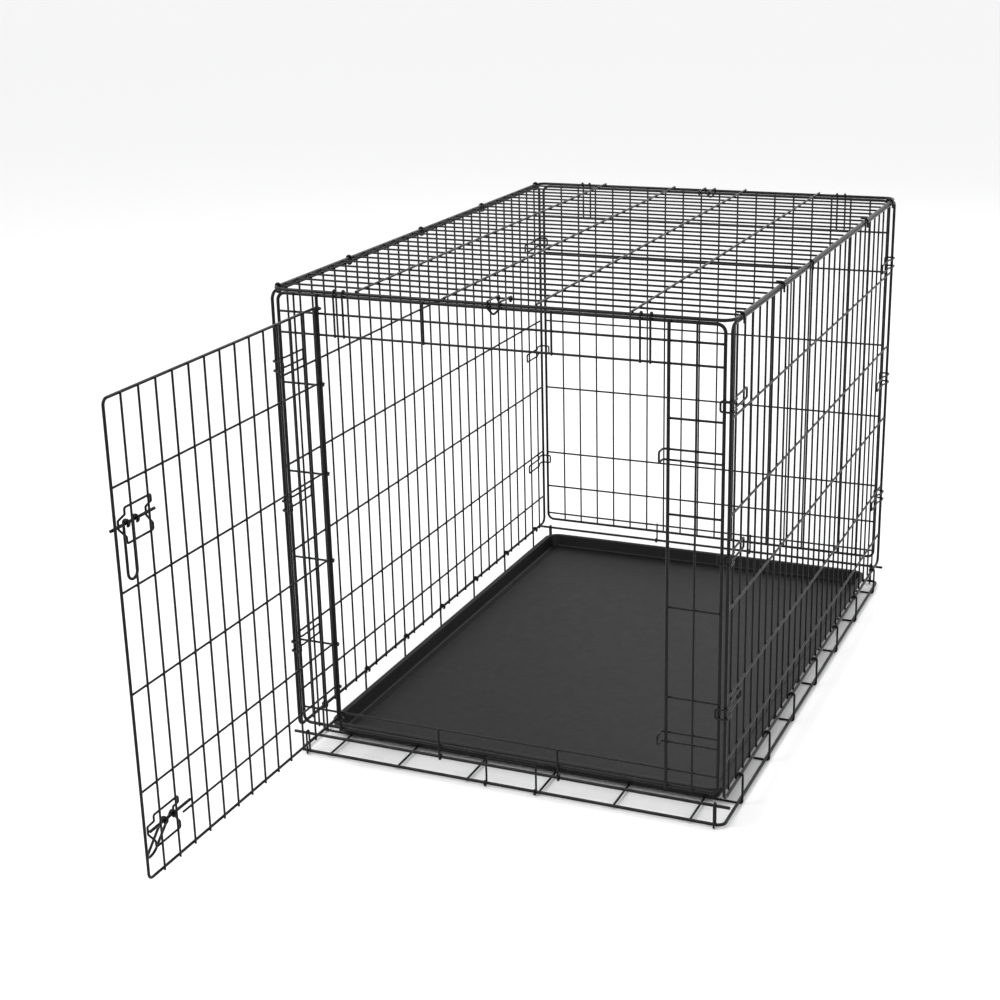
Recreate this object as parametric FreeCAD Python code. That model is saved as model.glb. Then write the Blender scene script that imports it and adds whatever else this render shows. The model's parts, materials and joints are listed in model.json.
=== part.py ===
import FreeCAD, Part
import math
import os

Vec = FreeCAD.Vector

# Folding wire dog crate, in millimetres. X runs across the front, Y from front to rear, Z up.
# The origin is on the ground under the middle of the crate. The door stands open at rest.

# ---- overall sizes
crate_width = 712.0
crate_length = 1053.0
roof_height = 762.0          # ground to the centre of the roof frame's wire

# ---- wire diameters
frame_wire = 5.0             # panel frames, hinge post
door_wire = 4.2              # the door's outer frame
bolt_wire = 4.5
hinge_rail_wire = 4.8        # the two rails that the end panels pivot on
bar_wire = 3.5               # crossbars, floor grid, side posts
loop_wire = 3.2              # hooks, loops, keepers, bolt receivers, pan stop, door bars
upright_wire = 3.2           # uprights, roof cross wires, prongs, lock clips
handle_wire = 4.0

# ---- fits
weld_sink = 0.05             # how far two welded wires press into each other
hinge_gap = 0.10             # radial clearance of a loop that turns on a wire
free_gap = 0.30              # clearance between pieces that only pass each other

# ---- end and side panels
side_bottom = 48.0           # centre of the side frame's bottom wire
hinge_rail_z = 37.0
sill_z = 57.0                # bottom wire of an end panel
low_bar_z = 84.0
end_width_gap = 7.0          # between an end panel's frame and a side panel's frame
frame_bend = 12.0
roof_bend = 18.0             # wider, so the open roof's corners clear the side panel's
upright_pitch = 37.4
rear_upright_pitch = 36.2
side_bar_z = [107.0, 206.0, 344.0, 484.0, 625.0]
rear_bar_z = [130.0, 204.0, 344.0, 484.0, 624.0]
rear_low_bar_z = 70.0
head_bar_drops = [27.0, 59.0]    # two crossbars this far below an end panel's top wire
hinge_loop_x = [-104.0, 94.0]    # end panel hinge loops
hinge_loop_curl = 290.0

# ---- corner clips
side_clip_z = [187.0, 422.0, 644.0]
clip_strand_gap = 15.0
clip_leg = 76.0              # from the corner back along the side panel
clip_tip = 18.0              # from the corner across the end panel
clip_joggle_angle = 25.0
clip_joggle_bend = 8.0
clip_corner_bend = 4.0
clip_end_bend = 3.0

# ---- doorway
post_x = -276.0              # hinge post, the door turns about it
jamb_x = 266.0
strip_mid_x = 305.7          # upright halfway between the jamb and the frame
left_mid_x = -315.0
door_width = 526.8           # hinge axis to the centre of the free edge
door_bottom = 75.0
door_top = 738.0
door_upright_pitch = 38.0
door_edge_gap = 32.0         # the free edge to the nearest upright
door_first_upright = 5.0
door_curl = 225.0
door_bar_z = [204.0, 344.0, 484.0, 624.0]
door_short_bar_z = 131.0
door_short_bar_length = 437.0

# ---- latches, along the closed door from its hinge axis
upper_latch_z = 568.0
lower_latch_z = 136.5
bolt_length = 98.0
bolt_proud = 4.4             # tip of the upper bolt at rest, past the door's free edge
bolt_chamfer = 0.6
lower_bolt_back = 22.0       # the lower bolt is drawn back this far
keeper_inset = 21.8          # the keeper's outer end to the door's free edge
keeper_room = 3.4            # the drawn-back handle to the keeper's inner end
keeper_height = 48.0
keeper_flare = 3.0           # how far the outer end leans outwards where it crosses the bolt
keeper_foot = 9.0            # how much of each end lies on the door above and below the step
handle_drop = 81.0
handle_width = 20.5
handle_inset = 34.7          # bolt tip to the handle's outer leg
lower_handle_tilt = 25.0
handle_curl = 250.0
receiver_gap_z = 15.5        # between the receiver's two strands
receiver_end_gap = 0.4       # bolt tip at rest to the receiver's closed end

# ---- floor and pan
floor_long_pitch = 120.6
floor_cross_pitch = 152.0
floor_cross_count = 7
floor_cross_shift = 16.0     # the middle cross wire sits this far behind the crate's middle
side_post_curl = 240.0
pan_height = 23.6
pan_wall = 2.2
pan_width = 672.0
pan_front_setback = 57.0     # front of the floor frame to the pan's lip
pan_rear_setback = 14.0
pan_draft = 6.0
pan_lip = 7.0
pan_lip_drop = 4.0
pan_corner = 28.0
pan_least_corner = 9.0
pan_stop_x = 13.5            # middle of the pan stop
pan_stop_width = 83.0
pan_stop_z = 49.0
pan_stop_curl = 250.0

# ---- roof
roof_cross_pitch = 36.2
roof_long_count = 4
front_prong_middles = [-243.2, 231.8]
prong_spread = 14.8          # between the two prongs of a pair
prong_foot = 2.0             # how far a prong reaches below the second head bar
roof_side_hook_y = [-486.0, -276.0, -106.0, 276.0, 486.0]
roof_ring_y = [-505.0, -280.0, -18.0, 243.0, 505.0]
roof_ring_curl = 172.0
hook_run = 8.0
hook_drop = 6.0              # how far a roof hook reaches below the side panels' top wires
front_lock_clip_x = 7.0
rear_lock_clip_x = 0.0
lock_clip_width = 19.0
lock_clip_point = 9.0        # how far its point reaches below the end panel's top wire
lock_clip_curl = 250.0

# ---- worked out
fr = frame_wire / 2
side_x = crate_width / 2 - fr
end_y = crate_length / 2 - fr
end_x = side_x - end_width_gap - fr
floor_z = bar_wire + fr - weld_sink
side_top = roof_height - frame_wire - free_gap
up_r = upright_wire / 2
bar_r = bar_wire / 2
loop_r = loop_wire / 2
door_r = door_wire / 2
bolt_r = bolt_wire / 2
handle_r = handle_wire / 2
rail_r = hinge_rail_wire / 2
up_out = fr + up_r - weld_sink                     # frame centre to an upright's centre
bar_out = up_out - up_r - bar_r + weld_sink        # frame centre to a crossbar's centre
post_out = frame_wire - weld_sink
post_y = -end_y - post_out
ring_r = fr + hinge_gap + loop_r                   # door bar loops round the hinge post
door_up_y = -ring_r + loop_r + up_r - weld_sink    # from the hinge axis, door closed
door_frame_y = door_up_y - up_r - door_r + weld_sink
bolt_y = door_frame_y - door_r - bolt_r - free_gap
bridge_y = bolt_y - bolt_r - loop_r - free_gap
eye_r = bolt_r + hinge_gap + handle_r
bolt_tip = door_width + bolt_proud
side_post_bend = fr + bar_r - 3 * weld_sink
floor_cross_reach = side_x + fr + bar_r + hinge_gap - side_post_bend
pan_bottom = 2 * bar_wire - weld_sink + free_gap
pan_rim_z = pan_bottom + pan_height
roof_wire_z = roof_height + fr - up_r


def rod(start, end, diameter):
    axis = Vec(*end) - Vec(*start)
    return Part.makeCylinder(diameter / 2, axis.Length, Vec(*start), axis)


def pipe(edges, diameter):
    """A round wire along a chain of tangent edges."""
    first = edges[0]
    start = first.valueAt(first.FirstParameter)
    circle = Part.Circle(start, first.tangentAt(first.FirstParameter), diameter / 2)
    return Part.Wire(edges).makePipeShell([Part.Wire(circle.toShape())], True, False)


class Bend:
    """A wire's centre line, drawn by walking forward and turning."""

    def __init__(self, start, heading):
        self.at = Vec(*start)
        self.heading = Vec(*heading).normalize()
        self.edges = []

    def forward(self, length):
        end = self.at + self.heading * length
        self.edges.append(Part.LineSegment(self.at, end).toShape())
        self.at = end
        return self

    def turn(self, towards, radius, angle=90.0):
        side = Vec(*towards).normalize()
        centre = self.at + side * radius
        forward = self.heading

        def point(degrees):
            a = math.radians(degrees)
            return centre - side * (radius * math.cos(a)) + forward * (radius * math.sin(a))

        end = point(angle)
        self.edges.append(Part.Arc(self.at, point(angle / 2), end).toShape())
        a = math.radians(angle)
        self.heading = forward * math.cos(a) + side * math.sin(a)
        self.at = end
        return self

    def whole(self, diameter):
        """One solid along the whole centre line."""
        return [pipe(self.edges, diameter)]

    def stretches(self, diameter):
        """One solid for each straight run and each bend, end to end."""
        return [pipe([edge], diameter) for edge in self.edges]


def through(points, radius):
    """A centre line through corner points, each corner rounded to the radius."""
    corners = [Vec(*p) for p in points]
    path = Bend(corners[0], corners[1] - corners[0])
    for here, after in zip(corners[1:], corners[2:]):
        way = (after - here).normalize()
        angle = path.heading.getAngle(way)
        trim = radius * math.tan(angle / 2)
        path.forward((here - path.at).Length - trim)
        side = way - path.heading * way.dot(path.heading)
        path.turn(side, radius, math.degrees(angle))
    return path.forward((corners[-1] - path.at).Length)


def export(node, solids):
    Part.makeCompound(solids).exportStep("parts/" + node + ".step")
    volume = sum(s.Volume for s in solids)
    print(node, len(solids), "solids", round(volume), "mm3")


def moved(solids, offset):
    return [s.translated(Vec(*offset)) for s in solids]


def turned(solids, point, axis, angle):
    copies = [s.copy() for s in solids]
    for copy in copies:
        copy.rotate(Vec(*point), Vec(*axis), angle)
    return copies


def mirrored(solids, across=(1, 0, 0)):
    return [s.mirror(Vec(0, 0, 0), Vec(*across)) for s in solids]


def rear_of(solids):
    """The same pieces at the rear end."""
    return mirrored(solids, (0, 1, 0))


def loop_frame(corner, along, across, length, width, bend, diameter):
    """A rounded rectangle of wire. corner is its low corner, length runs along, width across."""
    a, c = Vec(*along), Vec(*across)
    path = Bend(Vec(*corner) + a * bend, along)
    for span, side in ((length, c), (width, -a), (length, -c), (width, a)):
        path.forward(span - 2 * bend)
        path.turn(side, bend)
    return path.stretches(diameter)


def spaced(low, high, pitch):
    """Places between low and high, evenly spaced, as near to the pitch as they go."""
    gaps = max(2, round((high - low) / pitch))
    return [low + (high - low) * k / gaps for k in range(1, gaps)]


def clear_of(wanted, taken, room):
    """The place nearest to the wanted one that keeps its distance from all those taken."""
    choices = [wanted] + [t + s * room for t in taken for s in (-1, 1)]
    free = [c for c in choices if min(abs(c - t) for t in taken) > room - 0.001]
    return min(free, key=lambda c: abs(c - wanted))


# ---------------------------------------------------------------- places that several pieces share

def side_upright_y():
    return spaced(-end_y, end_y, upright_pitch)


def roof_cross_y():
    return spaced(-end_y, end_y, roof_cross_pitch)


def rear_upright_x():
    return spaced(-end_x, end_x, rear_upright_pitch)


def door_upright_x():
    """From the hinge axis: one beside the post, the others counted back from the free edge."""
    last = door_width - door_edge_gap
    count = int((last - 2 * ring_r - upright_wire) / door_upright_pitch)
    return [door_first_upright] + [last - door_upright_pitch * k for k in range(count, -1, -1)]


def closed_door_x():
    """Across the crate: the door's uprights when it is shut."""
    return [post_x + x for x in door_upright_x()]


def floor_cross_y():
    room = bar_r + up_r + free_gap
    middle = (floor_cross_count - 1) / 2
    wanted = [(k - middle) * floor_cross_pitch + floor_cross_shift for k in range(floor_cross_count)]
    return [clear_of(y, side_upright_y(), room) for y in wanted]


def head_bar_z():
    return [side_top - drop for drop in head_bar_drops]


def prong_pair(middle):
    return [middle - prong_spread / 2, middle + prong_spread / 2]


def front_prong_x():
    """Two pairs, each as near to its place as the shut door's uprights leave room for."""
    room = upright_wire + free_gap
    taken = [edge for x in closed_door_x() for edge in prong_pair(x)]
    return [x for middle in front_prong_middles for x in prong_pair(clear_of(middle, taken, room))]


def rear_prong_x():
    """One pair in the third gap between uprights from each side."""
    bars = rear_upright_x()
    middle = (bars[1] + bars[2]) / 2
    return prong_pair(middle) + prong_pair(-middle)


def front_loop_x():
    room = up_r + loop_r + free_gap
    return [clear_of(x, closed_door_x(), room) for x in hinge_loop_x]


def rear_loop_x():
    room = up_r + loop_r + free_gap
    return [clear_of(x, rear_upright_x(), room) for x in hinge_loop_x]


# ---------------------------------------------------------------- floor

def floor_frame():
    return loop_frame((-side_x, -end_y, floor_z), (1, 0, 0), (0, 1, 0),
                      2 * side_x, 2 * end_y, frame_bend, frame_wire)


def floor_cross_wires():
    reach = floor_cross_reach
    return [rod((-reach, y, bar_r), (reach, y, bar_r), bar_wire) for y in floor_cross_y()]


def side_posts():
    """Each floor cross wire turns up outside the side frame and curls over its bottom wire."""
    curl = fr + bar_r + hinge_gap
    rise = side_bottom - hinge_gap - weld_sink - bar_r - side_post_bend
    posts = []
    for y in floor_cross_y():
        path = Bend((floor_cross_reach, y, bar_r), (1, 0, 0)).turn((0, 0, 1), side_post_bend)
        path.forward(rise)
        path.turn((-1, 0, 0), curl, side_post_curl)
        posts += path.whole(bar_wire)
    return posts + mirrored(posts)


def floor_long_wires():
    z = bar_wire + bar_r - weld_sink
    end = end_y - fr + weld_sink
    room = 2 * (side_x - frame_bend - bar_r)
    count = int(room / floor_long_pitch) + 1
    middle = (count - 1) / 2
    places = [(k - middle) * floor_long_pitch for k in range(count)]
    return [rod((x, -end, z), (x, end, z), bar_wire) for x in places]


def hinge_rail():
    """The rail that an end panel turns on."""
    reach = side_x + fr + rail_r + hinge_rail_wire
    return [rod((-reach, -end_y, hinge_rail_z), (reach, -end_y, hinge_rail_z), hinge_rail_wire)]


def corner_link(x):
    """An upside-down U that straddles the floor frame and goes over the hinge rail."""
    half = fr + loop_r - weld_sink
    foot = floor_z - loop_r - fr
    top = hinge_rail_z + rail_r + loop_r - weld_sink - half
    path = Bend((x, -end_y - half, foot), (0, 0, 1)).forward(top - foot)
    path.turn((0, 1, 0), half, 180)
    path.forward(top - foot)
    return path.whole(loop_wire)


def corner_links():
    x = end_x - fr - loop_r + weld_sink
    front = corner_link(-x) + corner_link(x)
    return front + rear_of(front)


# ---------------------------------------------------------------- side panels

def side_frame():
    return loop_frame((side_x, -end_y, side_bottom), (0, 1, 0), (0, 0, 1),
                      2 * end_y, side_top - side_bottom, frame_bend, frame_wire)


def side_uprights():
    x = side_x - up_out
    return [rod((x, y, side_bottom - up_r), (x, y, side_top + up_r), upright_wire)
            for y in side_upright_y()]


def side_crossbars():
    x = side_x - bar_out
    end = end_y - fr + weld_sink
    return [rod((x, -end, z), (x, end, z), bar_wire) for z in side_bar_z]


def clip_strand(z):
    """Along the side panel's uprights, then a joggle outwards to pass outside its frame."""
    inner_x = side_x - up_out + up_r + loop_r - weld_sink
    outer_x = side_x + fr + loop_r - weld_sink
    angle = math.radians(clip_joggle_angle)
    slope = (outer_x - inner_x - 2 * clip_joggle_bend * (1 - math.cos(angle))) / math.sin(angle)
    reach = 2 * clip_joggle_bend * math.sin(angle) + slope * math.cos(angle)
    last = frame_bend
    path = Bend((inner_x, -end_y + clip_leg, z), (0, -1, 0))
    path.forward(clip_leg - reach - last)
    path.turn((1, 0, 0), clip_joggle_bend, clip_joggle_angle)
    path.forward(slope)
    path.turn((path.heading.y, -path.heading.x, 0), clip_joggle_bend, clip_joggle_angle)
    path.forward(last)
    return path


def clip_nose(start, z):
    """From one strand round the corner, across in front of the end panel, and back to the other."""
    drop = fr + loop_r + free_gap - clip_corner_bend
    tip = clip_tip - clip_corner_bend - clip_end_bend
    path = Bend((start.x, start.y, z + clip_strand_gap / 2), (0, -1, 0)).forward(drop)
    path.turn((-1, 0, 0), clip_corner_bend)
    path.forward(tip)
    path.turn((0, 0, -1), clip_end_bend)
    path.forward(clip_strand_gap - 2 * clip_end_bend)
    path.turn((1, 0, 0), clip_end_bend)
    path.forward(tip)
    path.turn((0, 1, 0), clip_corner_bend)
    path.forward(drop)
    return path


def clip_heel(start, z):
    """The closed end on the side panel."""
    path = Bend((start.x, start.y, z + clip_strand_gap / 2), (0, 1, 0))
    path.turn((0, 0, -1), clip_end_bend)
    path.forward(clip_strand_gap - 2 * clip_end_bend)
    return path.turn((0, -1, 0), clip_end_bend)


def side_clips():
    """Narrow closed loops of wire that reach round each corner in front of the end panels."""
    front = []
    for z in side_clip_z:
        strands = [clip_strand(z + side * clip_strand_gap / 2) for side in (-1, 1)]
        for strand in strands:
            front += strand.whole(loop_wire)
        front += clip_nose(strands[0].at, z).whole(loop_wire)
        front += clip_heel(strands[0].edges[0].Vertexes[0].Point, z).whole(loop_wire)
    return front + rear_of(front)


# ---------------------------------------------------------------- end panels

def end_frame():
    return loop_frame((-end_x, -end_y, sill_z), (1, 0, 0), (0, 0, 1),
                      2 * end_x, side_top - sill_z, frame_bend, frame_wire)


def crossbar(x0, x1, z):
    y = -end_y - bar_out
    return rod((x0, y, z), (x1, y, z), bar_wire)


def upright(x, low, high):
    y = -end_y - up_out
    return rod((x, y, low), (x, y, high), upright_wire)


def front_crossbars():
    """Across at the bottom and the head; on the strips beside the doorway, just under the door's bars."""
    inner = end_x - fr + weld_sink
    bars = [crossbar(-inner, inner, z) for z in [low_bar_z] + head_bar_z()]
    for door_z in door_bar_z:
        z = door_z - loop_r - bar_r - free_gap
        bars.append(crossbar(-inner, post_x + fr, z))
        bars.append(crossbar(jamb_x - fr, inner, z))
    return bars


def front_uprights():
    low, high = sill_z - up_r, side_top + up_r
    full = [upright(x, low, high) for x in (left_mid_x, strip_mid_x)]
    short = [upright(x, head_bar_z()[1] - up_r, high) for x in front_loop_x()]
    return full + short + post(jamb_x)


def post(x):
    """A heavy upright at one edge of the doorway."""
    return [rod((x, post_y, sill_z - fr), (x, post_y, side_top + fr), frame_wire)]


def hinge_loops(places, bar_z):
    """Short posts from the lowest crossbar down past the sill, curled round the hinge rail."""
    radius = fr + loop_r - weld_sink
    top = bar_z + bar_r
    loops = []
    for x in places:
        path = Bend((x, -end_y - radius, top), (0, 0, -1)).forward(top - hinge_rail_z)
        path.turn((0, 1, 0), radius, hinge_loop_curl)
        loops += path.whole(loop_wire)
    return loops


def prong_legs(places, low_bar):
    """The lower part of each prong, on the end panel's head bars."""
    low = low_bar - prong_foot
    return [upright(x, low, side_top - 2 * fr - free_gap) for x in places]


def receiver(z):
    """A U of wire on the strip beside the jamb. Its closed end stands out in front of the bolt."""
    y = -end_y - up_out + up_r + loop_r - weld_sink
    nose_x = post_x + bolt_tip + receiver_end_gap + loop_r
    nose_y = post_y + bridge_y
    start_x = end_x - fr + weld_sink
    half = receiver_gap_z / 2
    points = [(start_x, y, z + half), (nose_x, y, z + half), (nose_x, nose_y, z + half),
              (nose_x, nose_y, z - half), (nose_x, y, z - half), (start_x, y, z - half)]
    return through(points, loop_wire).stretches(loop_wire)


def rear_crossbars():
    inner = end_x - fr + weld_sink
    return [crossbar(-inner, inner, z) for z in [rear_low_bar_z] + rear_bar_z + head_bar_z()[1:]]


def rear_uprights():
    return [upright(x, sill_z - up_r, side_top + up_r) for x in rear_upright_x()]


# ---------------------------------------------------------------- roof

def roof_frame():
    return loop_frame((-side_x, -end_y, roof_height), (1, 0, 0), (0, 1, 0),
                      2 * side_x, 2 * end_y, roof_bend, frame_wire)


def roof_cross_wires():
    end = side_x - fr + weld_sink
    return [rod((-end, y, roof_wire_z), (end, y, roof_wire_z), upright_wire) for y in roof_cross_y()]


def roof_long_wires():
    z = roof_height + fr + bar_r - weld_sink
    gap = 2 * side_x / (roof_long_count + 1)
    end = end_y + fr / 2
    places = [k * gap - side_x for k in range(1, roof_long_count + 1)]
    return [rod((x, -end, z), (x, end, z), bar_wire) for x in places]


def roof_hinge_rings():
    """Welded over the roof's left rail and loose round the left side panel's top wire."""
    radius = fr + hinge_gap + loop_r
    rise = roof_height - hinge_gap - weld_sink - side_top
    room = loop_r + up_r + free_gap
    rings = []
    for wanted in roof_ring_y:
        y = clear_of(wanted, side_upright_y() + roof_cross_y(), room)
        path = Bend((-side_x + radius, y, side_top), (0, 0, 1)).forward(rise)
        path.turn((-1, 0, 0), radius, 180)
        path.forward(rise)
        path.turn((1, 0, 0), radius, roof_ring_curl)
        rings += path.whole(loop_wire)
    return rings


def roof_side_hooks():
    """Welded over the roof's right rail, they drop outside the right side panel."""
    radius = fr + loop_r + free_gap
    ease = free_gap + weld_sink
    room = loop_r + up_r + free_gap
    hooks = []
    for wanted in roof_side_hook_y:
        y = clear_of(wanted, roof_cross_y(), room)
        path = Bend((side_x - hook_run, y, roof_height + radius - ease), (1, 0, 0)).forward(hook_run)
        path.turn((0, 0, -1), radius)
        path.forward(roof_height - ease - side_top + hook_drop)
        hooks += path.stretches(loop_wire)
    return hooks


def roof_end_hooks(places):
    """The upper part of each prong: round the roof's end rail and down outside the end panel."""
    radius = fr + up_r + free_gap
    top = roof_height - free_gap - weld_sink
    hooks = []
    for x in places:
        path = Bend((x, -end_y + radius, top), (0, 0, 1)).turn((0, -1, 0), radius, 180)
        path.forward(top - side_top + 2 * fr)
        hooks += path.stretches(upright_wire)
    return hooks


def lock_clip(x):
    """A sprung loop: two arms from the first cross wire over the end rail, closed by a V outside."""
    half = lock_clip_width / 2
    radius = upright_wire + hinge_gap
    pivot_y = roof_cross_y()[0]
    arm_z = roof_wire_z + radius
    out_y = -end_y - fr - up_r - free_gap - hinge_gap
    shoulder = side_top
    point = side_top - lock_clip_point
    points = [(x - half, pivot_y, arm_z), (x - half, out_y, arm_z), (x - half, out_y, shoulder),
              (x, out_y, point), (x + half, out_y, shoulder), (x + half, out_y, arm_z),
              (x + half, pivot_y, arm_z)]
    solids = through(points, upright_wire).stretches(upright_wire)
    for side in (-half, half):
        curl = Bend((x + side, pivot_y, arm_z), (0, 1, 0)).turn((0, 0, -1), radius, lock_clip_curl)
        solids += curl.whole(upright_wire)
    return solids


# ---------------------------------------------------------------- door, drawn shut from its hinge axis

def hang(solids):
    """Puts pieces drawn on the shut door in place, then swings the door open."""
    placed = moved(solids, (post_x, post_y, 0))
    return turned(placed, (post_x, post_y, 0), (0, 0, 1), -90)


def post_curl(z, radius, diameter):
    """The end of a door wire, curled round the hinge post from its outer side."""
    return Bend((0, -radius, z), (-1, 0, 0)).turn((0, 1, 0), radius, door_curl).whole(diameter)


def door_frame():
    """One wire, curled round the post at both ends: top, free edge and bottom."""
    points = [(0, door_frame_y, door_top), (door_width, door_frame_y, door_top),
              (door_width, door_frame_y, door_bottom), (0, door_frame_y, door_bottom)]
    solids = through(points, 2 * door_wire).stretches(door_wire)
    for z in (door_top, door_bottom):
        solids += post_curl(z, -door_frame_y, door_wire)
    return solids


def door_uprights():
    return [rod((x, door_up_y, door_bottom - up_r), (x, door_up_y, door_top + up_r), upright_wire)
            for x in door_upright_x()]


def door_crossbars():
    end = door_width - door_r + weld_sink
    bars = [rod((0, -ring_r, z), (end, -ring_r, z), loop_wire) for z in door_bar_z]
    z = door_short_bar_z
    return bars + [rod((0, -ring_r, z), (door_short_bar_length, -ring_r, z), loop_wire)]


def door_hinge_curls():
    curls = []
    for z in door_bar_z + [door_short_bar_z]:
        curls += post_curl(z, ring_r, loop_wire)
    return curls


def keeper_end(x, step, z):
    """One end of a keeper: it steps out from the door's face to cross outside the bolt."""
    half = keeper_height / 2
    foot = half - keeper_foot
    head = bolt_r + free_gap + loop_wire
    points = [(x, -ring_r, z + half), (x, -ring_r, z + foot), (x + step, bridge_y, z + head),
              (x + step, bridge_y, z - head), (x, -ring_r, z - foot), (x, -ring_r, z - half)]
    return points


def keeper(z):
    """A closed loop of wire on the door's face. Both its ends step out, and the bolt slides under them."""
    outer = door_width - keeper_inset
    handle_end = bolt_tip - lower_bolt_back - handle_inset - handle_width - handle_r
    inner = handle_end - keeper_room - loop_r
    middle = (inner + outer) / 2
    half = keeper_height / 2
    points = [(middle, -ring_r, z + half)] + keeper_end(outer, keeper_flare, z)
    points += keeper_end(inner, 0, z)[::-1] + [(middle, -ring_r, z + half)]
    return through(points, loop_wire).stretches(loop_wire)


def bolt(z, back):
    tip = bolt_tip - back
    body = rod((tip - bolt_length, bolt_y, z), (tip, bolt_y, z), bolt_wire)
    rims = [e for e in body.Edges if e.Curve.TypeId == "Part::GeomCircle"]
    return [body.makeChamfer(bolt_chamfer, rims)]


def handle(z, back, tilt):
    """A U that hangs outside the bolt, with both ends curled round it."""
    far = bolt_tip - back - handle_inset
    near = far - handle_width
    radius = handle_width / 2
    leg_y = bolt_y - eye_r
    leg = handle_drop - radius - handle_r
    path = Bend((near, leg_y, z), (0, 0, -1)).forward(leg)
    path.turn((1, 0, 0), radius, 180)
    path.forward(leg)
    solids = path.stretches(handle_wire)
    for x in (near, far):
        solids += Bend((x, leg_y, z), (0, 0, 1)).turn((0, 1, 0), eye_r, handle_curl).whole(handle_wire)
    return turned(solids, (0, bolt_y, z), (1, 0, 0), -tilt)


# ---------------------------------------------------------------- pan and its stop

def rounded_sheet(inset, z):
    """The pan's outline, drawn inwards by the inset, as a wire."""
    half = pan_width / 2 - inset
    y0 = -end_y + pan_front_setback + inset
    y1 = end_y - pan_rear_setback - inset
    corner = max(pan_corner - inset, pan_least_corner)
    path = Bend((-half + corner, y0, z), (1, 0, 0))
    for span, side in ((2 * half, (0, 1, 0)), (y1 - y0, (-1, 0, 0)),
                       (2 * half, (0, -1, 0)), (y1 - y0, (1, 0, 0))):
        path.forward(span - 2 * corner)
        path.turn(side, corner)
    return Part.Wire(path.edges)


def drafted(inset, low, high):
    """A shallow block between two heights whose walls lean outwards."""
    slope = pan_draft / pan_height
    base = rounded_sheet(inset + slope * (pan_rim_z - low), low)
    return Part.makeLoft([base, rounded_sheet(inset + slope * (pan_rim_z - high), high)], True, True)


def slab(inset, low, thickness):
    return Part.Face(rounded_sheet(inset, low)).extrude(Vec(0, 0, thickness))


def pan():
    """A shallow moulded tray with leaning walls and a rim that is turned out and down."""
    rim_low = pan_rim_z - pan_wall
    body = drafted(pan_lip, pan_bottom, pan_rim_z)
    rim = slab(0, rim_low, pan_wall)
    lip = slab(0, rim_low - pan_lip_drop, pan_lip_drop)
    lip = lip.cut(slab(pan_wall, rim_low - pan_lip_drop, pan_lip_drop))
    body = body.fuse(rim).fuse(lip)
    return body.cut(drafted(pan_lip + pan_wall, pan_bottom + pan_wall, pan_rim_z)).Solids


def pan_stop():
    """A U of wire that turns on the floor frame's front rail and stands behind the hinge rail."""
    radius = fr + hinge_gap + loop_r
    near = pan_stop_x - pan_stop_width / 2
    far = pan_stop_x + pan_stop_width / 2
    y = -end_y + radius
    points = [(near, y, floor_z), (near, y, pan_stop_z), (far, y, pan_stop_z), (far, y, floor_z)]
    solids = through(points, frame_wire).stretches(loop_wire)
    for x in (near, far):
        solids += Bend((x, y, floor_z), (0, 0, -1)).turn((0, -1, 0), radius, pan_stop_curl).whole(loop_wire)
    return solids


# ---------------------------------------------------------------- write every node

os.makedirs("parts", exist_ok=True)

export("floor_frame", floor_frame())
export("floor_cross_wires", floor_cross_wires())
export("floor_long_wires", floor_long_wires())
export("side_posts", side_posts())
export("corner_links", corner_links())
export("front_hinge_rail", hinge_rail())
export("rear_hinge_rail", rear_of(hinge_rail()))

export("right_side_frame", side_frame())
export("right_side_uprights", side_uprights())
export("right_side_crossbars", side_crossbars())
export("right_side_clips", side_clips())
export("left_side_frame", mirrored(side_frame()))
export("left_side_uprights", mirrored(side_uprights()))
export("left_side_crossbars", mirrored(side_crossbars()))
export("left_side_clips", mirrored(side_clips()))

export("front_frame", end_frame())
export("front_crossbars", front_crossbars())
export("front_uprights", front_uprights())
export("front_hinge_loops", hinge_loops(front_loop_x(), low_bar_z))
export("front_prong_legs", prong_legs(front_prong_x(), head_bar_z()[1]))
export("door_hinge_post", post(post_x))
export("upper_bolt_receiver", receiver(upper_latch_z))
export("lower_bolt_receiver", receiver(lower_latch_z))

export("rear_frame", rear_of(end_frame()))
export("rear_crossbars", rear_of(rear_crossbars()))
export("rear_uprights", rear_of(rear_uprights()))
export("rear_hinge_loops", rear_of(hinge_loops(rear_loop_x(), rear_low_bar_z)))
export("rear_prong_legs", rear_of(prong_legs(rear_prong_x(), head_bar_z()[1])))

export("roof_frame", roof_frame())
export("roof_cross_wires", roof_cross_wires())
export("roof_long_wires", roof_long_wires())
export("roof_hinge_rings", roof_hinge_rings())
export("roof_side_hooks", roof_side_hooks())
export("roof_front_hooks", roof_end_hooks(front_prong_x()))
export("roof_rear_hooks", rear_of(roof_end_hooks(rear_prong_x())))
export("front_lock_clip", lock_clip(front_lock_clip_x))
export("rear_lock_clip", rear_of(lock_clip(rear_lock_clip_x)))

export("door_frame", hang(door_frame()))
export("door_uprights", hang(door_uprights()))
export("door_crossbars", hang(door_crossbars()))
export("door_hinge_curls", hang(door_hinge_curls()))
export("upper_bolt_keeper", hang(keeper(upper_latch_z)))
export("lower_bolt_keeper", hang(keeper(lower_latch_z)))
export("upper_bolt", hang(bolt(upper_latch_z, 0)))
export("lower_bolt", hang(bolt(lower_latch_z, lower_bolt_back)))
export("upper_bolt_handle", hang(handle(upper_latch_z, 0, 0)))
export("lower_bolt_handle", hang(handle(lower_latch_z, lower_bolt_back, lower_handle_tilt)))

export("pan", pan())
export("pan_stop", pan_stop())
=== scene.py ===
# %% [markdown]
# # A folding wire dog crate
# The crate is nearly all wire: drawn steel rod, cut, bent, spot welded into panels, then dipped in black
# electro-coat. The frame that we load holds every wire at its true size and place. Here we add what the
# factory adds: the weld at each crossing, the sheared ends of the rods, the moulded pan, and the coating.

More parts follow.
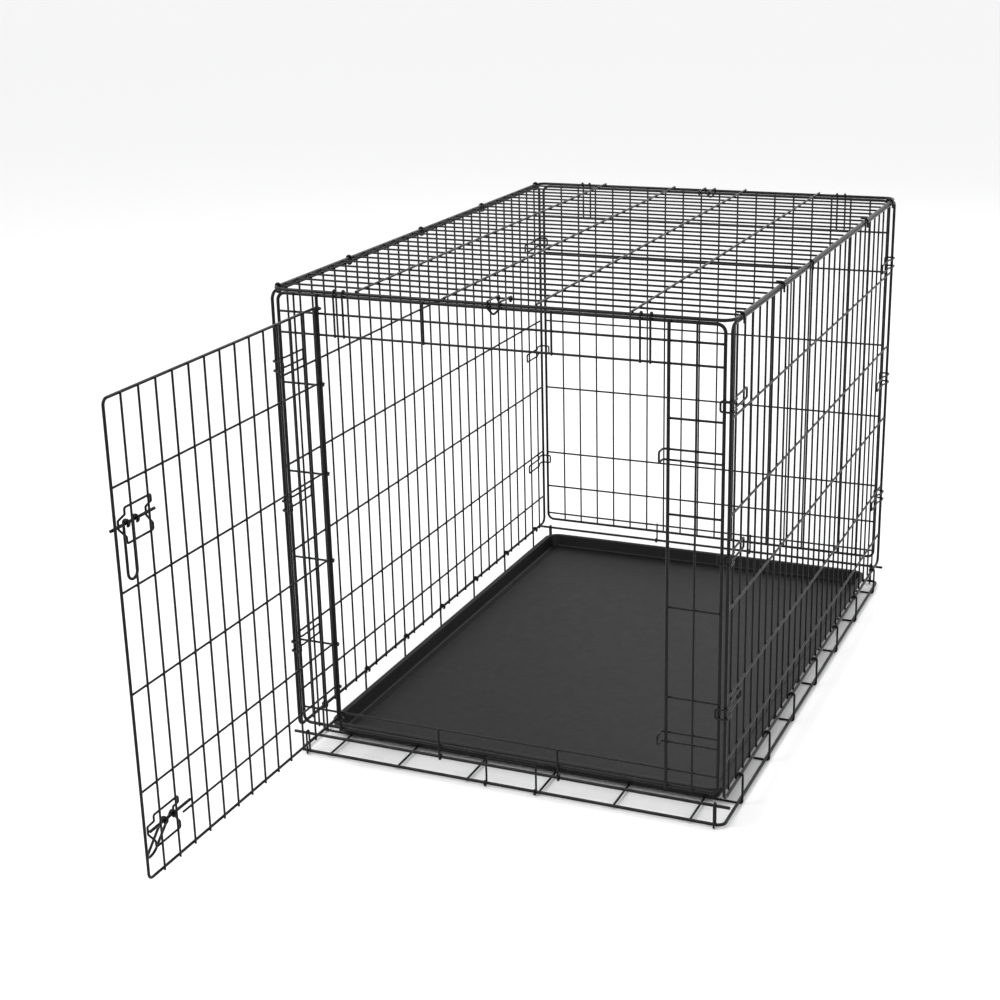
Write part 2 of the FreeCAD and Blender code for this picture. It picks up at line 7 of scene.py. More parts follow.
# %% Load the frame and keep its size
import json
import math

import bmesh
import bpy
from mathutils import Matrix, Vector

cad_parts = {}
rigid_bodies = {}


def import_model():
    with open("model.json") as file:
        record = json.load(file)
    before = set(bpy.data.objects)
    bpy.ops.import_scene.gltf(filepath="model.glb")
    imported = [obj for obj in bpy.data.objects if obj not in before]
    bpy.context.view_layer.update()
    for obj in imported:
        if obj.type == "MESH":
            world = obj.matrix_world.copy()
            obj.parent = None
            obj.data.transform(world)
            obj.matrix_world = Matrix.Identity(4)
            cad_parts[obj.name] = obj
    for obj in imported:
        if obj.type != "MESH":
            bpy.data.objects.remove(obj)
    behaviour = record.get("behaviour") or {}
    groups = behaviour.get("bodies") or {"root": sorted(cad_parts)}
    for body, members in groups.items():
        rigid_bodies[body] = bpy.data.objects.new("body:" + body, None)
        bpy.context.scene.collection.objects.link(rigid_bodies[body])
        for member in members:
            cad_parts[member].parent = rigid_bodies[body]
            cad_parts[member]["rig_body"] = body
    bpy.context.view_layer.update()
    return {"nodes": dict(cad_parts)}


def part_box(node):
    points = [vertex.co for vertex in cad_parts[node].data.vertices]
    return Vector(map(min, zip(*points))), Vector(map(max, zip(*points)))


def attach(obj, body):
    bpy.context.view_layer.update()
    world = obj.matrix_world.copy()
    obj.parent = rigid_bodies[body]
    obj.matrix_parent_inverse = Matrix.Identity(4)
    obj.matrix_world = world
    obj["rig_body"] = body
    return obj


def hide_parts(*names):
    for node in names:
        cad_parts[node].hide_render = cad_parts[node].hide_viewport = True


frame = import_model()

MM = 0.001
body_of_node = {node: obj["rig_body"] for node, obj in frame["nodes"].items()}


# %% [markdown]
# ## Where the wires are
# A panel is a list of straight wires, and each one is an island of its own in its node's mesh. We copy the
# mesh, merge its doubles, and walk over the islands once. What we keep of a wire is its box: its longest side
# is the way it runs, and its shortest is its thickness. Welds and rod ends are placed from this list, so they
# always follow the frame. Bent wires and short ones are left out, because their boxes say too little.

# %% Read every straight wire from a node
class Wire:
    """One straight wire: its two ends, its radius, and the axis that it runs along."""

    def __init__(self, low, high):
        size = high - low
        self.axis = max(range(3), key=lambda k: size[k])
        self.radius = min(size) / 2
        middle = (low + high) / 2
        self.start, self.end = middle.copy(), middle.copy()
        self.start[self.axis], self.end[self.axis] = low[self.axis], high[self.axis]
        self.length = size[self.axis]


def islands(mesh):
    """Groups of joined vertices."""
    seen = set()
    for first in mesh.verts:
        if first in seen:
            continue
        seen.add(first)
        group, queue = [], [first]
        while queue:
            vert = queue.pop()
            group.append(vert)
            for edge in vert.link_edges:
                other = edge.other_vert(vert)
                if other not in seen:
                    seen.add(other)
                    queue.append(other)
        yield group


SHORTEST_WIRE = 60 * MM
THICKEST_WIRE = 6 * MM
SAME_PLACE = 1e-6


def wires(node):
    """The straight wires of a node."""
    mesh = bmesh.new()
    mesh.from_mesh(frame["nodes"][node].data)
    bmesh.ops.remove_doubles(mesh, verts=mesh.verts, dist=SAME_PLACE)
    found = []
    for group in islands(mesh):
        low = Vector(min(v.co[k] for v in group) for k in range(3))
        high = Vector(max(v.co[k] for v in group) for k in range(3))
        wire = Wire(low, high)
        thick = sorted(high - low)[1]
        if wire.length >= SHORTEST_WIRE and thick < THICKEST_WIRE:
            found.append(wire)
    mesh.free()
    return found


wire_nodes = [n for n in body_of_node if n != "pan"]
straight = {node: wires(node) for node in wire_nodes}
print("straight wires", sum(len(w) for w in straight.values()))


# %% [markdown]
# ## Shader groups
# Every finish on the crate shares a few effects, so each effect is a node group with named inputs: the
# faint orange peel of a dipped coat, the scuffs of folding, and dust that settles on whatever faces up. A
# group only puts out a mask or a height. The shader itself stays in each material.

# %% Helpers for node groups
def new_group(name, inputs, outputs):
    """An empty shader group. inputs are (name, default), outputs are names of plain values."""
    group = bpy.data.node_groups.new(name, "ShaderNodeTree")
    for label, default in inputs:
        socket = group.interface.new_socket(label, in_out="INPUT", socket_type="NodeSocketFloat")
        socket.default_value = default
    for label in outputs:
        group.interface.new_socket(label, in_out="OUTPUT", socket_type="NodeSocketFloat")
    return group, group.nodes.new("NodeGroupInput"), group.nodes.new("NodeGroupOutput")


def math_node(tree, operation, a, b=None, clamp=False):
    """One Math node. a and b are sockets or plain numbers."""
    node = tree.nodes.new("ShaderNodeMath")
    node.operation = operation
    node.use_clamp = clamp
    for socket, value in zip(node.inputs, (a, b)):
        if isinstance(value, bpy.types.NodeSocket):
            tree.links.new(value, socket)
        elif value is not None:
            socket.default_value = value
    return node.outputs[0]


def noise(tree, place, scale, detail, rough):
    """One Noise Texture. scale is a socket."""
    node = tree.nodes.new("ShaderNodeTexNoise")
    node.inputs["Detail"].default_value = detail
    node.inputs["Roughness"].default_value = rough
    tree.links.new(scale, node.inputs["Scale"])
    tree.links.new(place, node.inputs["Vector"])
    return node.outputs["Fac"]


def ramp(tree, value, low, high):
    """Stretches the part of a value between low and high over 0 to 1."""
    node = tree.nodes.new("ShaderNodeMapRange")
    node.interpolation_type = "SMOOTHSTEP"
    node.inputs["From Min"].default_value = low
    node.inputs["From Max"].default_value = high
    tree.links.new(value, node.inputs["Value"])
    return node.outputs["Result"]


# %% Group: orange peel, the slow ripple of a dipped coat with a finer grain over it
GRAIN_SHARE = 0.3


def build_peel():
    group, source, sink = new_group("dipped_peel", [("Ripple Scale", 260.0), ("Grain Scale", 1500.0)],
                                    ["Height"])
    place = group.nodes.new("ShaderNodeTexCoord").outputs["Object"]
    ripple = noise(group, place, source.outputs["Ripple Scale"], 2.0, 0.5)
    grain = noise(group, place, source.outputs["Grain Scale"], 3.0, 0.6)
    height = math_node(group, "ADD", ripple, math_node(group, "MULTIPLY", grain, GRAIN_SHARE))
    group.links.new(height, sink.inputs["Height"])
    return group


# %% Group: scuffs, patches of fine scratches where wires rub each other when the crate is folded
SCRATCH_FINENESS = 22.0


def build_scuffs():
    group, source, sink = new_group("folding_scuffs", [("Scale", 40.0), ("Amount", 0.3)], ["Mask"])
    place = group.nodes.new("ShaderNodeTexCoord").outputs["Object"]
    patches = ramp(group, noise(group, place, source.outputs["Scale"], 3.0, 0.5), 0.56, 0.72)
    fine_scale = math_node(group, "MULTIPLY", source.outputs["Scale"], SCRATCH_FINENESS)
    scratches = ramp(group, noise(group, place, fine_scale, 2.0, 0.7), 0.48, 0.66)
    mask = math_node(group, "MULTIPLY", patches, scratches)
    mask = math_node(group, "MULTIPLY", mask, source.outputs["Amount"], clamp=True)
    group.links.new(mask, sink.inputs["Mask"])
    return group


# %% Group: dust, more of it on what faces up
def build_dust():
    group, source, sink = new_group("settled_dust", [("Amount", 0.3), ("Scale", 90.0)], ["Mask"])
    place = group.nodes.new("ShaderNodeTexCoord").outputs["Object"]
    facing = group.nodes.new("ShaderNodeSeparateXYZ")
    group.links.new(group.nodes.new("ShaderNodeNewGeometry").outputs["Normal"], facing.inputs[0])
    up = ramp(group, facing.outputs["Z"], 0.15, 1.0)
    cloud = ramp(group, noise(group, place, source.outputs["Scale"], 5.0, 0.65), 0.35, 0.75)
    mask = math_node(group, "MULTIPLY", math_node(group, "MULTIPLY", up, cloud), source.outputs["Amount"],
                     clamp=True)
    group.links.new(mask, sink.inputs["Mask"])
    return group


peel_group, scuff_group, dust_group = build_peel(), build_scuffs(), build_dust()


def place_group(tree, group, **values):
    """One use of a shader group with its own values."""
    node = tree.nodes.new("ShaderNodeGroup")
    node.node_tree = group
    for label, value in values.items():
        node.inputs[label.replace("_", " ")].default_value = value
    return node.outputs[0]


# %% [markdown]
# ## The coatings
# Electro-coat is a thin, even black paint that grows on the steel in a bath, so it has no runs, a satin
# gloss, and a softer look on the welds, where the metal under it is rough. The bolts are rubbed by their
# keepers, so their coat is the smoothest and the most worn.

# %% One recipe for every coating
COAT_BLACK = (0.003, 0.003, 0.0032)
DUST_GREY = (0.16, 0.155, 0.15)
WORN_STEEL = (0.07, 0.068, 0.065)
PLASTIC_BLACK = (0.003, 0.003, 0.0032)
PLASTIC_RUB = (0.05, 0.05, 0.05)
REFLECTANCE = 0.16
LIGHTER = 1.5                # the palest tone of a coat, against its base
TONE_RIPPLE = 0.12           # the tone's scales, as shares of the bump's
TONE_GRAIN = 0.1
SCUFF_SCALE = 38.0
DUST_SCALE = 85.0
BUMP_DEPTH = 0.12 * MM
ROUGH_FROM_TONE = 0.12
ROUGH_FROM_SCUFFS = 0.25
ROUGH_FROM_DUST = 0.6


def mix_colour(tree, mask, below, above):
    """Goes from one colour to the other by the mask. below and above are sockets or plain colours."""
    node = tree.nodes.new("ShaderNodeMix")
    node.data_type = "RGBA"
    tree.links.new(mask, node.inputs["Factor"])
    for socket, colour in ((node.inputs[6], below), (node.inputs[7], above)):
        if isinstance(colour, bpy.types.NodeSocket):
            tree.links.new(colour, socket)
        else:
            socket.default_value = (*colour, 1.0)
    return node.outputs[2]


def coating(name, colour=COAT_BLACK, satin=0.31, worn=0.22, dust=0.07, ripple=260.0, bump=0.22,
            worn_colour=WORN_STEEL, grain=1500.0):
    """A coated surface: base coat, scuffs that dull and grey it, dust on top, and peel in its height.

    satin is the roughness. worn and dust are the strengths of the two masks.
    """
    material = bpy.data.materials.new(name)
    material.use_nodes = True
    tree = material.node_tree
    shader = tree.nodes["Principled BSDF"]
    shader.inputs["Specular IOR Level"].default_value = REFLECTANCE
    tone = place_group(tree, peel_group, Ripple_Scale=ripple * TONE_RIPPLE, Grain_Scale=grain * TONE_GRAIN)
    scuffs = place_group(tree, scuff_group, Scale=SCUFF_SCALE, Amount=worn)
    dust_mask = place_group(tree, dust_group, Amount=dust, Scale=DUST_SCALE)
    lighter = tuple(c * LIGHTER for c in colour)
    base = mix_colour(tree, ramp(tree, tone, 0.45, 0.95), colour, lighter)
    base = mix_colour(tree, scuffs, base, worn_colour)
    base = mix_colour(tree, dust_mask, base, DUST_GREY)
    tree.links.new(base, shader.inputs["Base Color"])
    rough = math_node(tree, "ADD", math_node(tree, "MULTIPLY", tone, ROUGH_FROM_TONE),
                      satin - ROUGH_FROM_TONE / 2)
    rough = math_node(tree, "ADD", rough, math_node(tree, "MULTIPLY", scuffs, ROUGH_FROM_SCUFFS))
    rough = math_node(tree, "ADD", rough, math_node(tree, "MULTIPLY", dust_mask, ROUGH_FROM_DUST), clamp=True)
    tree.links.new(rough, shader.inputs["Roughness"])
    height = tree.nodes.new("ShaderNodeBump")
    height.inputs["Strength"].default_value = bump
    height.inputs["Distance"].default_value = BUMP_DEPTH
    peel = place_group(tree, peel_group, Ripple_Scale=ripple, Grain_Scale=grain)
    tree.links.new(peel, height.inputs["Height"])
    tree.links.new(height.outputs["Normal"], shader.inputs["Normal"])
    return material


panel_coat = coating("panel_wire_coat")
frame_coat = coating("frame_wire_coat", satin=0.28, worn=0.28, ripple=200.0)
floor_coat = coating("floor_wire_coat", satin=0.36, worn=0.4, dust=0.16)
hinge_coat = coating("hinge_wire_coat", satin=0.28, worn=0.6)
handle_coat = coating("handle_coat", satin=0.24, worn=0.35, dust=0.04)
bolt_coat = coating("rubbed_bolt_coat", satin=0.20, worn=0.9, dust=0.02)
weld_coat = coating("weld_coat", satin=0.42, worn=0.12, ripple=900.0, bump=0.5)

# %% Give every wire node its coating
FINISHES = [
    (("hinge_rail", "hinge_curls", "hinge_loops", "hinge_rings", "hinge_post", "lock_clip", "hooks",
      "pan_stop", "receiver"), hinge_coat),
    (("floor_", "side_posts", "corner_links"), floor_coat),
    (("_handle",), handle_coat),
    (("keeper",), hinge_coat),
    (("upper_bolt", "lower_bolt"), bolt_coat),
    (("_frame",), frame_coat),
]


def finish_of(node):
    """The coating of the first line in FINISHES that has a word of the node's name."""
    for words, material in FINISHES:
        if any(word in node for word in words):
            return material
    return panel_coat


for node in wire_nodes:
    data = frame["nodes"][node].data
    data.materials.clear()
    data.materials.append(finish_of(node))
    data.polygons.foreach_set("use_smooth", [True] * len(data.polygons))


# %% [markdown]
# ## Welds
# Where two wires cross they are squeezed between copper jaws and melted together. What is left is a low,
# slightly uneven nugget that fills the corner between them. There are hundreds, all alike but for their turn
# and size, so Geometry Nodes puts one small blob on each crossing with a fixed seed. The crossings are points
# of a mesh, one mesh for each body, and the nugget's size rides on each point as an attribute.

# %% Find the crossings of two sets of wires
WELD_SLACK = 0.4 * MM        # how far apart two wires may lie and still count as welded


def crossings(first, second):
    """Where a wire of one set touches a wire of the other: the point between them, and the smaller radius."""
    found = []
    for a in first:
        for b in second:
            if a.axis == b.axis:
                continue
            across = 3 - a.axis - b.axis
            gap = abs(a.start[across] - b.start[across])
            if gap > a.radius + b.radius + WELD_SLACK:
                continue
            at_a, at_b = b.start[a.axis], a.start[b.axis]
            reach_a = a.start[a.axis] - b.radius <= at_a <= a.end[a.axis] + b.radius
            reach_b = b.start[b.axis] - a.radius <= at_b <= b.end[b.axis] + a.radius
            if not (reach_a and reach_b):
                continue
            point = Vector((0, 0, 0))
            point[a.axis], point[b.axis] = at_a, at_b
            share = a.radius / (a.radius + b.radius)
            point[across] = a.start[across] + (b.start[across] - a.start[across]) * share
            found.append((point, min(a.radius, b.radius)))
    return found


# %% Helpers for Geometry Nodes
def new_tree(name, sockets):
    """An empty Geometry Nodes tree with named inputs. sockets are (name, kind, default)."""
    tree = bpy.data.node_groups.new(name, "GeometryNodeTree")
    tree.interface.new_socket("Geometry", in_out="INPUT", socket_type="NodeSocketGeometry")
    tree.interface.new_socket("Geometry", in_out="OUTPUT", socket_type="NodeSocketGeometry")
    for label, kind, default in sockets:
        socket = tree.interface.new_socket(label, in_out="INPUT", socket_type=kind)
        if default is not None:
            socket.default_value = default
    return tree, tree.nodes.new("NodeGroupInput"), tree.nodes.new("NodeGroupOutput")


def random_vector(tree, low, high, seed):
    """A vector whose three parts each lie between low and high."""
    node = tree.nodes.new("FunctionNodeRandomValue")
    node.data_type = "FLOAT_VECTOR"
    node.inputs[0].default_value = (low, low, low)
    node.inputs[1].default_value = (high, high, high)
    node.inputs["Seed"].default_value = seed
    return node.outputs[0]


def attribute(tree, kind, label):
    """A value that rides on the points."""
    node = tree.nodes.new("GeometryNodeInputNamedAttribute")
    node.data_type = kind
    node.inputs["Name"].default_value = label
    return node.outputs["Attribute"]


def copies_on_points(tree, source, shape, turn, size):
    """Puts a shape on every point that comes in, turned and sized."""
    node = tree.nodes.new("GeometryNodeInstanceOnPoints")
    tree.links.new(source.outputs["Geometry"], node.inputs["Points"])
    tree.links.new(shape, node.inputs["Instance"])
    tree.links.new(turn, node.inputs["Rotation"])
    tree.links.new(size, node.inputs["Scale"])
    return node.outputs[0]


def end_tree(tree, instances, source, sink):
    """Realize the copies, give them the material, and put them out."""
    real = tree.nodes.new("GeometryNodeRealizeInstances")
    paint = tree.nodes.new("GeometryNodeSetMaterial")
    smooth = tree.nodes.new("GeometryNodeSetShadeSmooth")
    tree.links.new(instances, real.inputs[0])
    tree.links.new(real.outputs[0], smooth.inputs[0])
    tree.links.new(smooth.outputs[0], paint.inputs["Geometry"])
    tree.links.new(source.outputs["Material"], paint.inputs["Material"])
    tree.links.new(paint.outputs["Geometry"], sink.inputs["Geometry"])


# %% The weld tree: one blob on each point, turned and sized at random
WELD_FULLNESS = 1.12         # a nugget's radius against its wire's
WELD_SPREAD = 0.15           # how much each of its three sizes varies
SIZE_SEED, TURN_SEED = 7, 11
FULL_TURN = 6.28


def build_weld_tree():
    tree, source, sink = new_tree("weld_nuggets", [
        ("Fullness", "NodeSocketFloat", WELD_FULLNESS), ("Material", "NodeSocketMaterial", None)])
    blob = tree.nodes.new("GeometryNodeMeshIcoSphere")
    blob.inputs["Subdivisions"].default_value = 2
    scale = tree.nodes.new("ShaderNodeVectorMath")
    scale.operation = "SCALE"
    factor = math_node(tree, "MULTIPLY", attribute(tree, "FLOAT", "wire_radius"), source.outputs["Fullness"])
    tree.links.new(random_vector(tree, 1 - WELD_SPREAD, 1 + WELD_SPREAD, SIZE_SEED), scale.inputs[0])
    tree.links.new(factor, scale.inputs["Scale"])
    turn = random_vector(tree, 0.0, FULL_TURN, TURN_SEED)
    end_tree(tree, copies_on_points(tree, source, blob.outputs["Mesh"], turn, scale.outputs[0]), source, sink)
    return tree


weld_tree = build_weld_tree()


# %% Turn a tree and a cloud of points into one plain mesh
def points_mesh(name, points, attributes):
    """A mesh of loose points with extra values on each one."""
    data = bpy.data.meshes.new(name)
    data.from_pydata(points, [], [])
    for label, (kind, values) in attributes.items():
        key = "vector" if kind == "FLOAT_VECTOR" else "value"
        flat = [c for v in values for c in v] if kind == "FLOAT_VECTOR" else values
        data.attributes.new(label, kind, "POINT").data.foreach_set(key, flat)
    return data


def grow(name, body, data, tree, inputs):
    """Runs a tree over a mesh and leaves the result as a plain piece on that body."""
    carrier = bpy.data.objects.new(name + "_points", data)
    bpy.context.scene.collection.objects.link(carrier)
    modifier = carrier.modifiers.new("grow", "NODES")
    modifier.node_group = tree
    for item in tree.interface.items_tree:
        if item.in_out == "INPUT" and item.name in inputs:
            modifier[item.identifier] = inputs[item.name]
    bpy.context.view_layer.update()
    ready = carrier.evaluated_get(bpy.context.evaluated_depsgraph_get())
    mesh = bpy.data.meshes.new_from_object(ready)
    bpy.data.objects.remove(carrier)
    piece = bpy.data.objects.new(name, mesh)
    bpy.context.scene.collection.objects.link(piece)
    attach(piece, body)
    print(name, len(mesh.polygons), "faces")
    return piece


# %% Weld each panel's own wires to each other
def weld_body(body):
    """A nugget on each crossing of a body's wires."""
    nodes = [n for n in wire_nodes if body_of_node[n] == body]
    groups = [straight[n] for n in nodes if straight[n]]
    points, radii = [], []
    for k, first in enumerate(groups):
        for second in groups[k:]:
            for point, radius in crossings(first, second):
                points.append(point)
                radii.append(radius)
    if points:
        data = points_mesh(body + "_crossings", points, {"wire_radius": ("FLOAT", radii)})
        grow(body + "_welds", body, data, weld_tree, {"Fullness": WELD_FULLNESS, "Material": weld_coat})


WELDED_BODIES = ("crate_base", "front_panel", "rear_panel", "roof_panel", "door")
for body in WELDED_BODIES:
    weld_body(body)


# %% [markdown]
# ## Sheared ends
# A rod is cut by a shear, so its end is never a clean disc: the coat gathers on the rim and the middle
# bulges a little. A shallow cap on each open end shows that. Geometry Nodes place these too, turned along the
# wire by an attribute that says which way the end points. The hinge rails' ends are left plain, because they
# are the widest points of the crate.

# %% The cap tree
CAP_BULGE = 0.3              # a cap's height against its wire's radius
CAP_RIM = 1.03               # a cap's radius against its wire's
OPEN_ENDED = ("uprights", "prong_legs", "hinge_post", "roof_long_wires")


def build_cap_tree():
    tree, source, sink = new_tree("sheared_ends", [
        ("Bulge", "NodeSocketFloat", CAP_BULGE), ("Material", "NodeSocketMaterial", None)])
    ball = tree.nodes.new("GeometryNodeMeshUVSphere")
    ball.inputs["Segments"].default_value = 16
    ball.inputs["Rings"].default_value = 8
    radius = attribute(tree, "FLOAT", "wire_radius")
    aim = tree.nodes.new("FunctionNodeAlignRotationToVector")
    tree.links.new(attribute(tree, "FLOAT_VECTOR", "way"), aim.inputs["Vector"])
    scale = tree.nodes.new("ShaderNodeCombineXYZ")
    for label in ("X", "Y"):
        tree.links.new(radius, scale.inputs[label])
    tree.links.new(math_node(tree, "MULTIPLY", radius, source.outputs["Bulge"]), scale.inputs["Z"])
    end_tree(tree, copies_on_points(tree, source, ball.outputs["Mesh"], aim.outputs[0], scale.outputs[0]),
             source, sink)
    return tree


cap_tree = build_cap_tree()


def cap_body(body):
    """A cap on each open end of a body's wires."""
    points, radii, ways = [], [], []
    for node in wire_nodes:
        if body_of_node[node] != body or not node.endswith(OPEN_ENDED):
            continue
        for wire in straight[node]:
            along = (wire.end - wire.start).normalized()
            for tip, way in ((wire.start, -along), (wire.end, along)):
                points.append(tip)
                ways.append(way)
                radii.append(wire.radius * CAP_RIM)
    if points:
        data = points_mesh(body + "_tips", points, {
            "wire_radius": ("FLOAT", radii), "way": ("FLOAT_VECTOR", ways)})
        grow(body + "_rod_ends", body, data, cap_tree, {"Bulge": CAP_BULGE, "Material": panel_coat})


for body in WELDED_BODIES:
    cap_body(body)


# %% [markdown]
# ## The floor pan
# The pan is one injection moulding. Its cross-section is the same all the way round, so the whole tray is
# that section carried round a rounded rectangle: the section's corners are softened first, then each of its
# points becomes a ring. Two low ridges stiffen the wall, the rim is turned out and down, and a shallow
# channel runs round the floor.

# %% The section, from the outer bottom edge up over the rim and down to the floor
pan_low, pan_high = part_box("pan")
PAN_DEPTH = pan_high.z - pan_low.z
PAN_WALL = 2.2 * MM
PAN_LIP = 7.0 * MM
PAN_DRAFT = 6.0 * MM
PAN_CORNER = 28.0 * MM
LIP_DROP = 6.0 * MM
RIDGE = 0.9 * MM
RIDGE_PLACES = (0.30, 0.56)  # where each ridge starts, as a share of the depth
RIDGE_SHARE = 0.13           # how much of the depth it takes
FLOOR_CHANNEL = 1.0 * MM
CHANNEL_START = 10.0 * MM    # the channel's step, from the foot of the wall
CHANNEL_END = 11.5 * MM
UNDER_REACH = 40.0 * MM      # how far in the first ring lies, under the pan
FLOOR_REACH = 60.0 * MM      # how far in the last ring lies, on its floor
CORNER_SHARE = 0.25          # the smallest corner, against the rim's
SIDE_SHARE = 0.45            # the most of a side that one softened corner may take
CORNER_STEPS = 4
RING_STEPS = 10


def wall_inset(height):
    """How far in from the rim the leaning outer wall is at a height."""
    return PAN_LIP + PAN_DRAFT * (1 - height / PAN_DEPTH)


def pan_section():
    """(inset from the rim's outer edge, height above the pan's underside, corner radius) in order."""
    section = [(PAN_LIP + PAN_DRAFT + UNDER_REACH, 0.0, 0.0), (wall_inset(0), 0.0, 2.4 * MM)]
    for low in RIDGE_PLACES:
        base, top = low * PAN_DEPTH, (low + RIDGE_SHARE) * PAN_DEPTH
        section += [(wall_inset(base), base, 0.5 * MM), (wall_inset(base) - RIDGE, base + RIDGE, 0.5 * MM),
                    (wall_inset(top) - RIDGE, top - RIDGE, 0.5 * MM), (wall_inset(top), top, 0.5 * MM)]
    under = PAN_DEPTH - PAN_WALL
    section += [(wall_inset(under), under, 0.9 * MM), (PAN_WALL, under, 0.8 * MM),
                (PAN_WALL * 0.9, PAN_DEPTH - LIP_DROP, 0.6 * MM), (0.0, PAN_DEPTH - LIP_DROP, 0.6 * MM),
                (0.0, PAN_DEPTH, 1.7 * MM)]
    inner = PAN_LIP + PAN_WALL
    floor = PAN_WALL
    section += [(inner, PAN_DEPTH, 1.6 * MM), (inner + PAN_DRAFT * 0.9, floor, 4.0 * MM),
                (inner + PAN_DRAFT + CHANNEL_START, floor, 1.2 * MM),
                (inner + PAN_DRAFT + CHANNEL_END, floor + FLOOR_CHANNEL, 1.2 * MM),
                (inner + PAN_DRAFT + FLOOR_REACH, floor + FLOOR_CHANNEL, 0.0)]
    return section


def soften(section):
    """Rounds each corner of the section to its own radius."""
    rounded = []
    last = len(section) - 1
    for k, (x, y, radius) in enumerate(section):
        here = Vector((x, y))
        if k in (0, last) or radius == 0:
            rounded.append(here)
            continue
        before = Vector(section[k - 1][:2]) - here
        after = Vector(section[k + 1][:2]) - here
        half = before.angle(after) / 2
        longest = SIDE_SHARE * min(before.length, after.length)
        trim = min(radius / math.tan(half), longest)
        start, end = here + before.normalized() * trim, here + after.normalized() * trim
        for step in range(CORNER_STEPS + 1):
            t = step / CORNER_STEPS
            rounded.append(start * (1 - t) ** 2 + here * 2 * t * (1 - t) + end * t ** 2)
    return rounded


# %% One ring of the tray, and the tray itself
def tray_ring(inset, height):
    """A rounded rectangle inside the rim's outline, seen from above, anticlockwise."""
    corner = max(PAN_CORNER - inset, PAN_CORNER * CORNER_SHARE)
    middle = (pan_low + pan_high) / 2
    half_x = (pan_high.x - pan_low.x) / 2 - inset - corner
    half_y = (pan_high.y - pan_low.y) / 2 - inset - corner
    ring = []
    for quarter, (sx, sy) in enumerate(((1, 1), (-1, 1), (-1, -1), (1, -1))):
        for step in range(RING_STEPS + 1):
            a = math.radians(90 * (quarter + step / RING_STEPS))
            ring.append(Vector((middle.x + sx * half_x + corner * math.cos(a),
                                middle.y + sy * half_y + corner * math.sin(a), pan_low.z + height)))
    return ring


def mould_pan():
    """The whole tray: a ring for each point of the section, and a flat face in the first and the last."""
    mesh = bmesh.new()
    rings = [[mesh.verts.new(p) for p in tray_ring(x, y)] for x, y in soften(pan_section())]
    for ring, following in zip(rings, rings[1:]):
        for k in range(len(ring)):
            after = (k + 1) % len(ring)
            mesh.faces.new((ring[k], ring[after], following[after], following[k]))
    mesh.faces.new(rings[-1])
    mesh.faces.new(rings[0][::-1])
    bmesh.ops.recalc_face_normals(mesh, faces=mesh.faces)
    data = bpy.data.meshes.new("floor_pan")
    mesh.to_mesh(data)
    mesh.free()
    data.polygons.foreach_set("use_smooth", [True] * len(data.polygons))
    piece = bpy.data.objects.new("floor_pan", data)
    bpy.context.scene.collection.objects.link(piece)
    return piece


floor_pan = mould_pan()
pan_plastic = coating("moulded_pan_plastic", colour=PLASTIC_BLACK, satin=0.44, worn=0.10, dust=0.05,
                      ripple=420.0, bump=0.35, worn_colour=PLASTIC_RUB, grain=2600.0)
floor_pan.data.materials.append(pan_plastic)
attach(floor_pan, "pan")
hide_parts("pan")
print("floor_pan", len(floor_pan.data.polygons), "faces")


# %% [markdown]
# ## The studio
# A pale floor, a bright surround, a soft key light from above the front left, and two weaker ones from the
# right and from behind. The wires are thin and black, so most of what the eye reads is the light floor
# between them, and a soft shadow under the base.

# %% Floor, lights and camera
CAMERA_PLACE = Vector((1.0055, -2.7791, 1.3043))
CAMERA_TURN = 23.856
CAMERA_DROP = 18.655
CAMERA_ROLL = -1.40
CAMERA_LENS = 64.31
SENSOR_WIDTH = 36.0
FLOOR_WHITE = (0.86, 0.86, 0.865, 1)
FLOOR_ROUGHNESS = 0.6
SURROUND_STRENGTH = 1.05


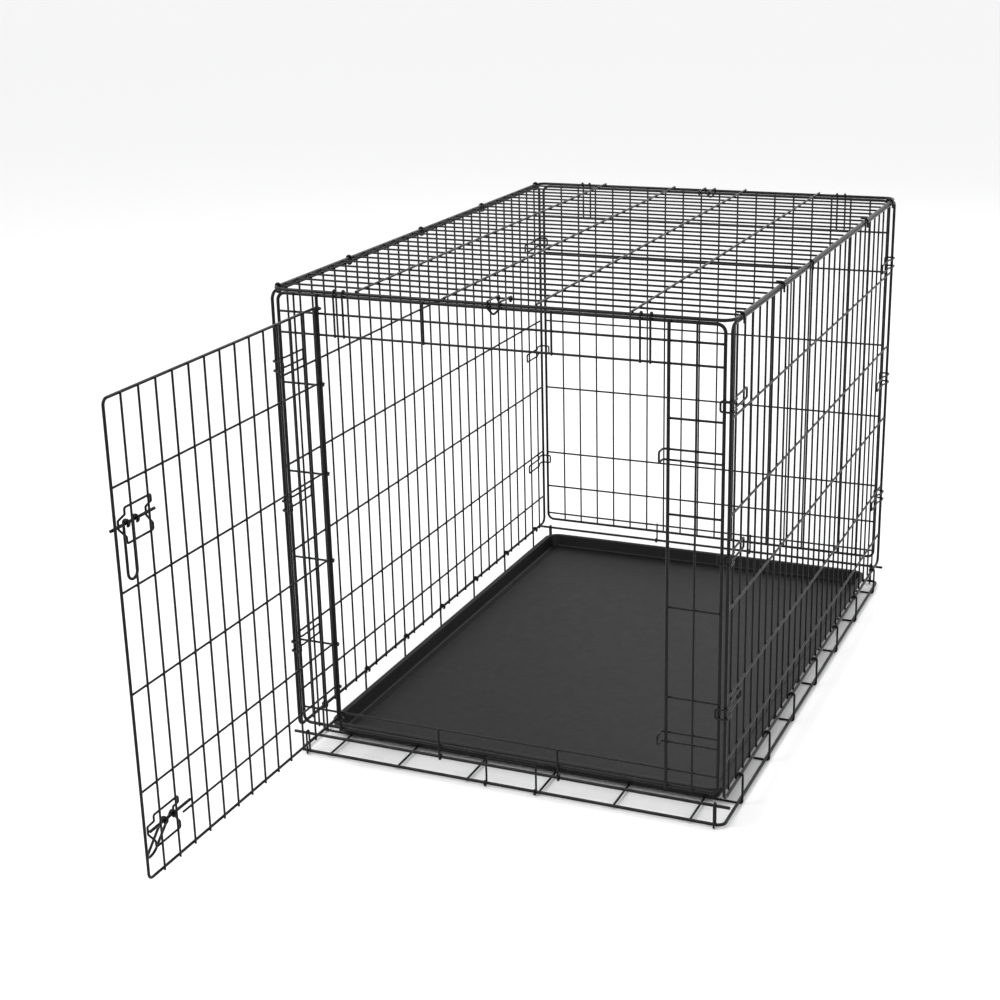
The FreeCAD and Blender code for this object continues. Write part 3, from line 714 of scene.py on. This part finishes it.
def pale_floor():
    data = bpy.data.meshes.new("studio_floor")
    reach = 30.0
    data.from_pydata([(-reach, -reach, 0), (reach, -reach, 0), (reach, reach, 0), (-reach, reach, 0)],
                     [], [(0, 1, 2, 3)])
    obj = bpy.data.objects.new("studio_floor", data)
    bpy.context.scene.collection.objects.link(obj)
    material = bpy.data.materials.new("studio_white")
    material.use_nodes = True
    shader = material.node_tree.nodes["Principled BSDF"]
    shader.inputs["Base Color"].default_value = FLOOR_WHITE
    shader.inputs["Roughness"].default_value = FLOOR_ROUGHNESS
    data.materials.append(material)
    return obj


def soft_light(name, place, target, size, power):
    light = bpy.data.lights.new(name, "AREA")
    light.shape = "DISK"
    light.size = size
    light.energy = power
    obj = bpy.data.objects.new(name, light)
    bpy.context.scene.collection.objects.link(obj)
    obj.location = place
    obj.rotation_euler = (Vector(target) - Vector(place)).to_track_quat("-Z", "Y").to_euler()
    return obj


def surround():
    world = bpy.data.worlds.new("studio")
    world.use_nodes = True
    background = world.node_tree.nodes["Background"]
    background.inputs["Color"].default_value = (1.0, 1.0, 1.0, 1)
    background.inputs["Strength"].default_value = SURROUND_STRENGTH
    bpy.context.scene.world = world


def camera():
    data = bpy.data.cameras.new("camera")
    data.lens = CAMERA_LENS
    data.sensor_width = SENSOR_WIDTH
    obj = bpy.data.objects.new("camera", data)
    bpy.context.scene.collection.objects.link(obj)
    turn = Matrix.Rotation(math.radians(CAMERA_TURN), 4, "Z")
    drop = Matrix.Rotation(math.radians(90 - CAMERA_DROP), 4, "X")
    roll = Matrix.Rotation(math.radians(CAMERA_ROLL), 4, "Z")
    obj.matrix_world = Matrix.Translation(CAMERA_PLACE) @ turn @ drop @ roll
    bpy.context.scene.camera = obj


studio = pale_floor()
middle = Vector((0, 0, 0.35))
lights = [soft_light("key", (-1.8, -2.2, 3.4), middle, 1.6, 85.0),
          soft_light("fill", (3.4, -1.4, 2.2), middle, 2.8, 20.0),
          soft_light("back", (0.4, 3.2, 3.0), middle, 1.6, 40.0)]
surround()
camera()
bpy.context.scene.view_settings.view_transform = "Standard"
